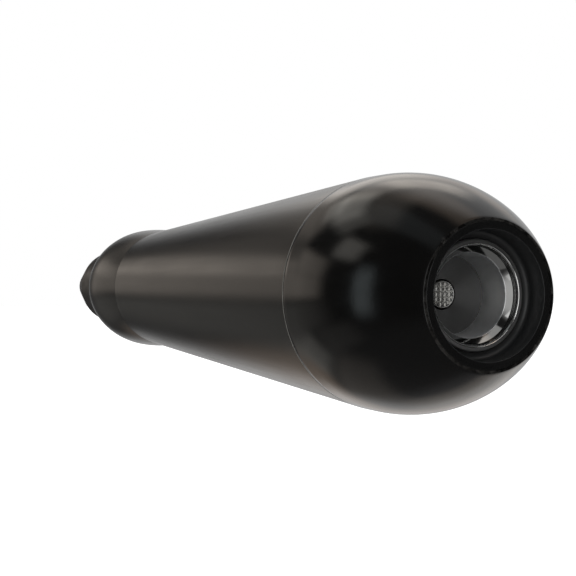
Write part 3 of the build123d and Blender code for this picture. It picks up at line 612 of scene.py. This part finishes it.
def upright(outline, places, sides=40):
    """Solids of revolution about Z from an open outline of (height, radius), at each (x, y) place."""
    bm = bmesh.new()
    for x, y in places:
        rings = [[bm.verts.new(((x + r * math.cos(2 * math.pi * k / sides)) * MM,
                                (y + r * math.sin(2 * math.pi * k / sides)) * MM, z * MM)) for k in range(sides)]
                 for z, r in outline]
        for one, two in zip(rings, rings[1:]):
            for k in range(sides):
                j = (k + 1) % sides
                bm.faces.new((one[k], one[j], two[j], two[k]))
        bm.faces.new(rings[0])
        bm.faces.new(rings[-1])
    return bm


def cross_screws(name, places, head_r, head_height, shaft_r, depth):
    """Pan-head screws with a cross recess in the head."""
    top = BOARD_TOP + head_height
    low = BOARD_TOP - depth
    outline = [(low, shaft_r * 0.55), (low + 0.3, shaft_r)]
    count = int((BOARD_TOP - low - 0.4) / 0.4)
    for i in range(count):
        z = low + 0.35 + 0.4 * i
        outline += [(z, shaft_r * 0.82), (z + 0.2, shaft_r)]
    outline += [(BOARD_TOP, shaft_r), (BOARD_TOP, head_r), (top - 0.45, head_r), (top - 0.15, head_r * 0.86)]
    bm = upright(outline, places, 24)
    arm, half = head_r * 0.55, head_r * 0.13
    corners = [(arm, -half), (arm, half), (half, half), (half, arm), (-half, arm), (-half, half), (-arm, half),
               (-arm, -half), (-half, -half), (-half, -arm), (half, -arm), (half, -half)]
    tops = [f for f in bm.faces if len(f.verts) > 4 and f.calc_center_median().z > (top - 0.2) * MM]
    bmesh.ops.delete(bm, geom=tops, context="FACES_ONLY")
    for x, y in places:
        middle = Vector((x, y, top - 0.15)) * MM
        rim = [e for e in bm.edges if e.is_boundary and (e.verts[0].co - middle).length < head_r * MM]
        upper = [bm.verts.new(((x + a) * MM, (y + b) * MM, top * MM)) for a, b in corners]
        lower = [bm.verts.new(((x + a * 0.8) * MM, (y + b * 0.8) * MM, (top - 0.5) * MM)) for a, b in corners]
        mouth = [bm.edges.new((upper[k], upper[(k + 1) % 12])) for k in range(12)]
        for k in range(12):
            j = (k + 1) % 12
            bm.faces.new((upper[k], upper[j], lower[j], lower[k]))
        bm.faces.new(lower)
        bmesh.ops.triangle_fill(bm, edges=rim + mouth, use_beauty=True)
    return make_object(name, bm, MAT["spring_steel"], "handle", sharp=40)


corners = [(x, y) for x in (-33.2, -50.7) for y in (-8.4, 8.4)]
screws = cross_screws("board_screws_cross", corners, head_r=1.3, head_height=0.9, shaft_r=0.7, depth=3.2)
stand_for(screws, "board_screws")

# Aluminium cans: crimped above the seal, with a rounded top
CAN_R, CRIMP_R, CAN_TOP = 2.75, 2.5, 3.0
can = [(BOARD_TOP, 2.3), (BOARD_TOP + 0.1, 2.6), (BOARD_TOP + 0.5, CAN_R), (BOARD_TOP + 0.9, CAN_R)]
can += [(BOARD_TOP + 1.1, CRIMP_R), (BOARD_TOP + 1.35, CRIMP_R), (BOARD_TOP + 1.55, CAN_R)]
can += [(CAN_TOP - 0.4, CAN_R), (CAN_TOP - 0.15, 2.68), (CAN_TOP - 0.03, 2.5), (CAN_TOP, 2.3), (CAN_TOP - 0.1, 2.2)]
cans = make_object("capacitor_cans", upright(can, [(-55.95, -4.3), (-55.95, 4.3)]), MAT["capacitor_can"], "handle")
stand_for(cans, "storage_capacitors")

# Legs of the chip and the transistor, and the small parts beside the transformer
CHIP_LEG, LEG_PITCH, LEG_HALF = -36.3, 0.7, 0.14
# Shoulder, drop and foot of a leg: from and to outwards from the chip's side, and the bottom and the top
LEG_PARTS = ((0.0, 0.35, -2.5, -2.36), (0.25, 0.37, BOARD_TOP, -2.4), (0.25, 0.7, BOARD_TOP, -2.88))
legs = bmesh.new()
for i in range(7):
    x = CHIP_LEG + LEG_PITCH * i
    for side, y in ((-1, -6.1), (1, -1.1)):
        for start, end, low, high in LEG_PARTS:
            a, b = sorted((y + side * start, y + side * end))
            box(legs, (x - LEG_HALF, a, low), (x + LEG_HALF, b, high))
for y in (2.1, 3.6, 5.1):
    box(legs, (-37.6, y - 0.3, BOARD_TOP), (-36.7, y + 0.3, -2.85))
box(legs, (-31.7, 1.9, BOARD_TOP), (-31.35, 5.3, -2.85))
make_object("chip_and_transistor_legs", legs, MAT["solder"], "handle")
SMALL_PARTS = ((1.6, 0.8, 0.5), (2.0, 1.2, 0.7))
bodies, ends = bmesh.new(), bmesh.new()
for y in (-8.2, 8.2):
    for i, x in enumerate((-47.4, -44.6, -41.6, -38.2)):
        long, wide, high = SMALL_PARTS[i % 2]
        box(bodies, (x - long / 2 + 0.25, y - wide / 2, BOARD_TOP),
            (x + long / 2 - 0.25, y + wide / 2, BOARD_TOP + high))
        for side in (-1, 1):
            a, b = sorted((x + side * long / 2, x + side * (long / 2 - 0.27)))
            box(ends, (a, y - wide / 2 - 0.02, BOARD_TOP), (b, y + wide / 2 + 0.02, BOARD_TOP + high + 0.02))
make_object("small_part_bodies", bodies, MAT["chip_black"], "handle")
make_object("small_part_ends", ends, MAT["solder"], "handle")

# Transformer winding: turns of enamelled wire side by side round a rounded block
WINDING_BACK, WINDING_LENGTH, WINDING_TURNS = -49.0, 8.1, 20
WINDING_HALF_WIDTH, WINDING_HALF_HEIGHT, WINDING_MIDDLE = 4.05, 4.55, 2.5
# How far a turn bulges, how square the block is, and the steps along a turn and round the block
BULGE, SQUARENESS, STEPS, ROUND = 0.14, 0.42, 8, 48
coil_bm = bmesh.new()
rings = []
last = STEPS * WINDING_TURNS
for i in range(last + 1):
    x = WINDING_BACK + WINDING_LENGTH * i / last
    bulge = 0.0 if i in (0, last) else BULGE * abs(math.sin(math.pi * i / STEPS))
    ring = []
    for k in range(ROUND):
        a = 2 * math.pi * k / ROUND
        c, q = math.cos(a), math.sin(a)
        y = (WINDING_HALF_WIDTH + bulge) * math.copysign(abs(c) ** SQUARENESS, c)
        z = WINDING_MIDDLE + (WINDING_HALF_HEIGHT + bulge) * math.copysign(abs(q) ** SQUARENESS, q)
        ring.append(coil_bm.verts.new((x * MM, y * MM, z * MM)))
    rings.append(ring)
for one, two in zip(rings, rings[1:]):
    for k in range(ROUND):
        j = (k + 1) % ROUND
        coil_bm.faces.new((one[k], one[j], two[j], two[k]))
coil_bm.faces.new(rings[0])
coil_bm.faces.new(rings[-1])
wound = make_object("transformer_turns", coil_bm, MAT["winding"], "handle", sharp=60)
stand_for(wound, "transformer_coil")

# Camera at the photograph's place, fitted to the outline and to the circles of the opening
EYE, VIEW = (0.09903, -0.07078, 0.00159), (-0.9054, 0.4245, -0.0070)
cam_data = bpy.data.cameras.new("camera")
cam_data.sensor_width = 36
cam_data.lens = 68.75
cam_data.clip_start = 0.005
cam_data.clip_end = 20
cam = bpy.data.objects.new("camera", cam_data)
bpy.context.scene.collection.objects.link(cam)
look = Vector(VIEW).normalized()
up = Vector((-0.0082, 0.0, 1.0))
side = look.cross(up).normalized()
up = side.cross(look).normalized()
cam.matrix_world = Matrix((
    (side.x, up.x, -look.x, EYE[0]),
    (side.y, up.y, -look.y, EYE[1]),
    (side.z, up.z, -look.z, EYE[2]),
    (0, 0, 0, 1),
))
bpy.context.scene.camera = cam


def white_floor():
    """A floor that is white to the camera, with the object's shadow, and left out of the pen's reflections."""
    bm = bmesh.new()
    bmesh.ops.create_grid(bm, x_segments=1, y_segments=1, size=8.0)
    mesh = bpy.data.meshes.new("floor")
    bm.to_mesh(mesh)
    bm.free()
    floor = bpy.data.objects.new("floor", mesh)
    floor.location = (0, 0, -0.2)
    floor.visible_glossy = False
    bpy.context.scene.collection.objects.link(floor)
    floor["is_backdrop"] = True
    mat = bpy.data.materials.new("floor_white")
    mat.use_nodes = True
    tree = mat.node_tree
    bsdf = tree.nodes["Principled BSDF"]
    bsdf.inputs["Base Color"].default_value = (0.9, 0.9, 0.9, 1)
    bsdf.inputs["Roughness"].default_value = 0.9
    glow = tree.nodes.new("ShaderNodeEmission")
    glow.inputs["Strength"].default_value = 0.7
    add = tree.nodes.new("ShaderNodeAddShader")
    both = tree.nodes.new("ShaderNodeMixShader")
    path = tree.nodes.new("ShaderNodeLightPath")
    tree.links.new(bsdf.outputs[0], add.inputs[0])
    tree.links.new(glow.outputs[0], add.inputs[1])
    tree.links.new(path.outputs["Is Camera Ray"], both.inputs[0])
    tree.links.new(bsdf.outputs[0], both.inputs[1])
    tree.links.new(add.outputs[0], both.inputs[2])
    tree.links.new(both.outputs[0], tree.nodes["Material Output"].inputs[0])
    mesh.materials.append(mat)


white_floor()


# Levels of the plain light, and of what gloss mirrors: a backdrop behind the pen, and a dim room on this side
PLAIN = 0.68
BACKDROP, CEILING, ROOM, GROUND = 0.60, 0.03, 0.03, 0.06
BEHIND = (-0.905, 0.425, 0.0)


def studio():
    """The world: white to the camera, plain to diffuse light, and the backdrop and the room in gloss."""
    world = bpy.data.worlds.new("studio")
    bpy.context.scene.world = world
    world.use_nodes = True
    tree = world.node_tree

    def node(kind, **props):
        n = tree.nodes.new(kind)
        for k, v in props.items():
            setattr(n, k, v)
        return n

    def fade(value, frm, to, low, high):
        n = node("ShaderNodeMapRange", interpolation_type="SMOOTHSTEP")
        n.inputs["From Min"].default_value = frm
        n.inputs["From Max"].default_value = to
        n.inputs["To Min"].default_value = low
        n.inputs["To Max"].default_value = high
        tree.links.new(value, n.inputs["Value"])
        return n.outputs["Result"]

    def calc(op, a, b):
        n = node("ShaderNodeMath", operation=op)
        tree.links.new(a, n.inputs[0])
        tree.links.new(b, n.inputs[1])
        return n.outputs[0]

    split = node("ShaderNodeSeparateXYZ")
    way = node("ShaderNodeTexCoord").outputs["Generated"]
    tree.links.new(way, split.inputs[0])
    across, height = split.outputs["Y"], split.outputs["Z"]

    # The backdrop stands behind the pen as the camera sees it, on the far side, and is darker near the floor
    behind = node("ShaderNodeVectorMath", operation="DOT_PRODUCT")
    tree.links.new(way, behind.inputs[0])
    behind.inputs[1].default_value = BEHIND
    far_side = fade(across, 0.0, 0.3, 0.0, 1.0)
    backdrop = calc("MULTIPLY", far_side, fade(behind.outputs["Value"], 0.1, 0.4, 0.0, BACKDROP))
    backdrop = calc("MULTIPLY", backdrop, fade(height, -0.8, -0.6, 0.2, 1.0))
    glow = calc("ADD", backdrop, fade(height, 0.78, 0.95, ROOM, CEILING + ROOM))
    glow = calc("ADD", glow, fade(height, -0.2, -0.7, 0.0, GROUND))

    def sky(strength, color=(1, 1, 1)):
        n = node("ShaderNodeBackground")
        n.inputs["Color"].default_value = (*color, 1)
        if isinstance(strength, float):
            n.inputs["Strength"].default_value = strength
        else:
            tree.links.new(strength, n.inputs["Strength"])
        return n.outputs[0]

    def choose(fac, a, b):
        n = node("ShaderNodeMixShader")
        tree.links.new(fac, n.inputs[0])
        tree.links.new(a, n.inputs[1])
        tree.links.new(b, n.inputs[2])
        return n.outputs[0]

    path = node("ShaderNodeLightPath")
    mirrored = calc("MAXIMUM", path.outputs["Is Glossy Ray"], path.outputs["Is Transmission Ray"])
    both = choose(mirrored, sky(PLAIN), sky(glow))
    both = choose(path.outputs["Is Camera Ray"], both, sky(1.0))
    tree.links.new(both, tree.nodes["World Output"].inputs[0])


studio()


HEAD = Vector((-0.012, 0, 0))
LAMP_DISTANCE, FLOOR_ROOM = 0.9, 0.18
SOFT_EDGE = 0.32


def fade_to_edge(tree, place):
    """1 over the middle of a lamp's side and falling smoothly to 0 at both edges."""
    centred = tree.nodes.new("ShaderNodeMath")
    centred.operation = "PINGPONG"
    centred.inputs[1].default_value = 0.5
    tree.links.new(place, centred.inputs[0])
    soft = tree.nodes.new("ShaderNodeMapRange")
    soft.interpolation_type = "SMOOTHSTEP"
    soft.inputs["From Min"].default_value = 0.0
    soft.inputs["From Max"].default_value = SOFT_EDGE
    tree.links.new(centred.outputs[0], soft.inputs["Value"])
    return soft.outputs["Result"]


def softbox(name, azimuth, elevation, wide, high, radiance, color=(1, 1, 1), soft=True):
    """A lamp seen from the pen's head in that direction, with that width and height in degrees, above the floor."""
    a, e = math.radians(azimuth), math.radians(elevation)
    distance = LAMP_DISTANCE if elevation > -25 else FLOOR_ROOM / abs(math.sin(e))
    place = HEAD + Vector((math.cos(a) * math.cos(e), math.sin(a) * math.cos(e), math.sin(e))) * distance
    data = bpy.data.lights.new(name, "AREA")
    data.shape = "RECTANGLE"
    data.size = 2 * distance * math.tan(math.radians(wide / 2))
    data.size_y = 2 * distance * math.tan(math.radians(high / 2))
    data.energy = radiance * math.pi * data.size * data.size_y
    data.color = color
    if soft:
        data.use_nodes = True
        tree = data.node_tree
        split = tree.nodes.new("ShaderNodeSeparateXYZ")
        tree.links.new(tree.nodes.new("ShaderNodeNewGeometry").outputs["Parametric"], split.inputs[0])
        sides = [fade_to_edge(tree, split.outputs[k]) for k in range(2)]
        both = tree.nodes.new("ShaderNodeMath")
        both.operation = "MULTIPLY"
        tree.links.new(sides[0], both.inputs[0])
        tree.links.new(sides[1], both.inputs[1])
        tree.links.new(both.outputs[0], tree.nodes["Emission"].inputs["Strength"])
    ob = bpy.data.objects.new(name, data)
    ob.location = place
    ob.rotation_mode = "QUATERNION"
    ob.rotation_quaternion = (HEAD - place).to_track_quat("-Z", "Y")
    ob.visible_camera = False
    bpy.context.scene.collection.objects.link(ob)


# Lamps round the pen: azimuth, elevation, width and height in degrees, level and tint. Azimuth 0 is the pen's front
WHITE, COOL, PALE, AMBER, TAN = (1, 1, 1), (0.91, 1.02, 1.05), (1.04, 1.0, 0.92), (1.1, 0.98, 0.86), (1.22, 0.96, 0.76)
LAMPS = (
    ("near_strip", -104, 2, 15, 52, 0.74, COOL),
    ("near_high", -122, 31, 23, 21, 0.83, PALE),
    ("near_low", -128, -28, 39, 23, 0.11, PALE),
    ("near_top", -100, 66, 78, 26, 0.13, COOL),
    ("band_high_near", -143, 15, 34, 17, 0.55, AMBER),
    ("band_high_tail", -165, 15, 29, 17, 0.16, AMBER),
    ("band_peak", -166, 10, 24, 10, 0.42, AMBER),
    ("band_low_near", -143, 3, 34, 17, 0.56, AMBER),
    ("band_low_tail", -165, 3, 29, 17, 0.34, AMBER),
    ("band_under", -152, -12, 62, 21, 0.15, PALE),
    ("tail_mid", -171, 28, 34, 18, 0.31, AMBER),
    ("tail_step", -172, 36, 24, 12, 0.52, PALE),
    ("tail_high_near", -146, 44, 23, 21, 0.45, PALE),
    ("tail_high", -168, 44, 34, 21, 0.85, PALE),
    ("tail_top", -165, 61, 65, 23, 0.23, AMBER),
    ("tail_low", -158, -28, 29, 23, 0.31, PALE),
    ("tail_deep", -165, -50, 65, 31, 0.17, AMBER),
    ("end_mid", 160, 28, 34, 18, 0.71, AMBER),
    ("end_high", 170, 44, 29, 21, 0.44, AMBER),
    ("end_low", 177, -28, 36, 23, 0.28, TAN),
    ("end_low_far", 150, -28, 34, 23, 0.20, TAN),
    ("far_mid", 135, 28, 31, 18, 0.24, TAN),
    ("far_high", 148, 44, 31, 22, 1.08, AMBER),
    ("far_low", 124, -28, 36, 23, 0.35, AMBER),
    ("far_deep", 125, -50, 52, 31, 0.35, AMBER),
    ("over", 95, 76, 78, 34, 0.34, TAN),
    ("front_near", -36, 0, 48, 80, 1.20, WHITE),
)
# Hard-edged lamps in front of the pen: only the socket mirrors these
FRONT_LAMPS = (
    ("front_window", 20, 57, 54, 18, 0.80),
    ("front_upper", -34, 27, 9, 12, 1.60),
    ("front_lower", -34, -27, 10, 9, 0.80),
    ("front_floor", 10, -56, 60, 20, 0.25),
)
for name, azimuth, elevation, wide, high, radiance, tint in LAMPS:
    softbox(name, azimuth, elevation, wide, high, radiance, tint)
for name, azimuth, elevation, wide, high, radiance in FRONT_LAMPS:
    softbox(name, azimuth, elevation, wide, high, radiance, soft=False)

bpy.context.scene.view_settings.view_transform = "Standard"
low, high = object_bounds()
